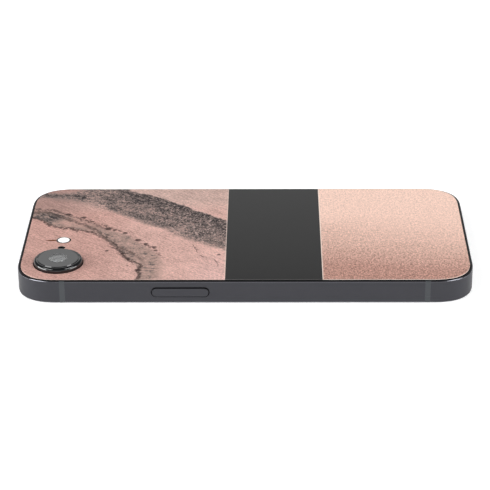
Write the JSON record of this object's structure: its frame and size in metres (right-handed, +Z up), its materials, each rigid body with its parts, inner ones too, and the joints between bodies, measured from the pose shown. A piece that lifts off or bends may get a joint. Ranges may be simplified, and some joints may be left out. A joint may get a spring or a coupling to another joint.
{
  "type": "smartphone",
  "caption": "Slab smartphone lying face down, with one round rear camera, a flash, side buttons, a card tray and a two-tone patterned back film.",
  "frame": {"origin": "centre of the body's footprint, on the outer face of the display glass that the phone lies on", "axes": "+X along the length from the camera end towards the charging port, +Y across the width towards the volume buttons, +Z up out of the back cover"},
  "size_m": [0.1466, 0.0722, 0.0097],
  "materials": {
    "frame_metal": "fine blasted and anodised, satin",
    "antenna_plastic": "moulded, satin",
    "steel_plate": "rolled sheet",
    "display_glass": "polished",
    "black_ink": "printed ink behind glass",
    "panel_black": "unlit panel",
    "black_plastic": "fine moulded",
    "gasket_foam": "adhesive foam",
    "mesh_dark": "woven mesh",
    "back_glass": "opaque glass, polished edge",
    "skin_marble": "printed marble film, satin",
    "skin_grey": "plain satin film",
    "skin_foil": "rose foil film with a fine weave",
    "ring_metal": "polished and anodised",
    "camera_glass": "polished",
    "module_metal": "stamped, satin",
    "barrel_plastic": "ribbed, matt",
    "lens_glass": "coated",
    "board_green": "solder mask",
    "flash_plastic": "clear ribbed lens",
    "flash_ceramic": "phosphor and ceramic",
    "gold_metal": "plated",
    "infrared_black": "infrared filter",
    "button_metal": "fine blasted and anodised, satin",
    "seal_rubber": "moulded",
    "flex_film": "polyimide film",
    "chip_black": "moulded package",
    "battery_wrap": "foil pouch with label",
    "coil_copper": "enamelled wire",
    "ferrite_grey": "pressed ferrite",
    "tungsten_mass": "sintered",
    "cone_film": "pressed film",
    "port_steel": "stamped",
    "tongue_plastic": "moulded",
    "screw_steel": "turned"
  },
  "bodies": {
    "phone": {"frame_band": "frame_metal", "antenna_breaks": "antenna_plastic", "mid_plate": "steel_plate", "display_glass": "display_glass", "display_mask": "black_ink", "oled_panel": "panel_black", "display_shield": "steel_plate", "display_carrier": "black_plastic", "display_gasket": "gasket_foam", "earpiece_mesh": "mesh_dark", "back_glass": "back_glass", "back_plate": "steel_plate", "back_gasket": "gasket_foam", "skin_marble": "skin_marble", "skin_centre": "skin_grey", "skin_foil": "skin_foil", "camera_ring": "ring_metal", "camera_window": "camera_glass", "camera_housing": "module_metal", "camera_sensor": "board_green", "flash_lens": "flash_plastic", "flash_board": "flash_ceramic", "rear_microphone": "gold_metal", "front_camera_housing": "module_metal", "infrared_camera": "infrared_black", "dot_projector": "module_metal", "sensor_bracket": "steel_plate", "earpiece_speaker": "black_plastic", "button_seals": "seal_rubber", "button_switches": "flex_film", "sim_reader": "steel_plate", "logic_board": "board_green", "upper_board": "board_green", "board_chips": "chip_black", "board_shields": "module_metal", "battery_cell": "battery_wrap", "battery_flex": "flex_film", "display_flex": "flex_film", "dock_flex": "flex_film", "charge_coil": "coil_copper", "coil_ferrite": "ferrite_grey", "haptic_housing": "steel_plate", "speaker_box": "black_plastic", "bottom_meshes": "mesh_dark", "bottom_microphone": "gold_metal", "usb_shell": "port_steel", "usb_tongue": "tongue_plastic", "usb_contacts": "gold_metal", "bottom_screws": "screw_steel", "internal_screws": "screw_steel"},
    "side_button": {"side_button": "button_metal"},
    "volume_up": {"volume_up_button": "button_metal"},
    "volume_down": {"volume_down_button": "button_metal"},
    "action_button": {"action_button": "button_metal"},
    "sim_tray": {"sim_tray": "button_metal"},
    "rear_focus": {"camera_barrel": "barrel_plastic", "camera_lens": "lens_glass"},
    "front_focus": {"front_camera_barrel": "barrel_plastic"},
    "haptic": {"haptic_mass": "tungsten_mass"},
    "speaker_cone": {"speaker_diaphragm": "cone_film"}
  },
  "joints": [
    {"name": "side_button_press", "type": "slide", "parent": "phone", "child": "side_button", "axis": [0, 1, 0], "range_m": [0, 0.0003], "stiffness_N_per_m": 800},
    {"name": "volume_up_press", "type": "slide", "parent": "phone", "child": "volume_up", "axis": [0, -1, 0], "range_m": [0, 0.0003], "stiffness_N_per_m": 800},
    {"name": "volume_down_press", "type": "slide", "parent": "phone", "child": "volume_down", "axis": [0, -1, 0], "range_m": [0, 0.0003], "stiffness_N_per_m": 800},
    {"name": "action_button_press", "type": "slide", "parent": "phone", "child": "action_button", "axis": [0, -1, 0], "range_m": [0, 0.0003], "stiffness_N_per_m": 800},
    {"name": "sim_tray_slide", "type": "slide", "parent": "phone", "child": "sim_tray", "axis": [0, 1, 0], "range_m": [0, 0.02]},
    {"name": "rear_focus_slide", "type": "slide", "parent": "phone", "child": "rear_focus", "axis": [0, 0, 1], "range_m": [0, 0.0003], "stiffness_N_per_m": 400},
    {"name": "front_focus_slide", "type": "slide", "parent": "phone", "child": "front_focus", "axis": [0, 0, 1], "range_m": [0, 0.00015], "stiffness_N_per_m": 200},
    {"name": "haptic_slide", "type": "slide", "parent": "phone", "child": "haptic", "axis": [0, 1, 0], "range_m": [-0.0006, 0.0006], "stiffness_N_per_m": 3000},
    {"name": "speaker_cone_slide", "type": "slide", "parent": "phone", "child": "speaker_cone", "axis": [0, 0, 1], "range_m": [-0.0003, 0.0003], "stiffness_N_per_m": 500}
  ]
}
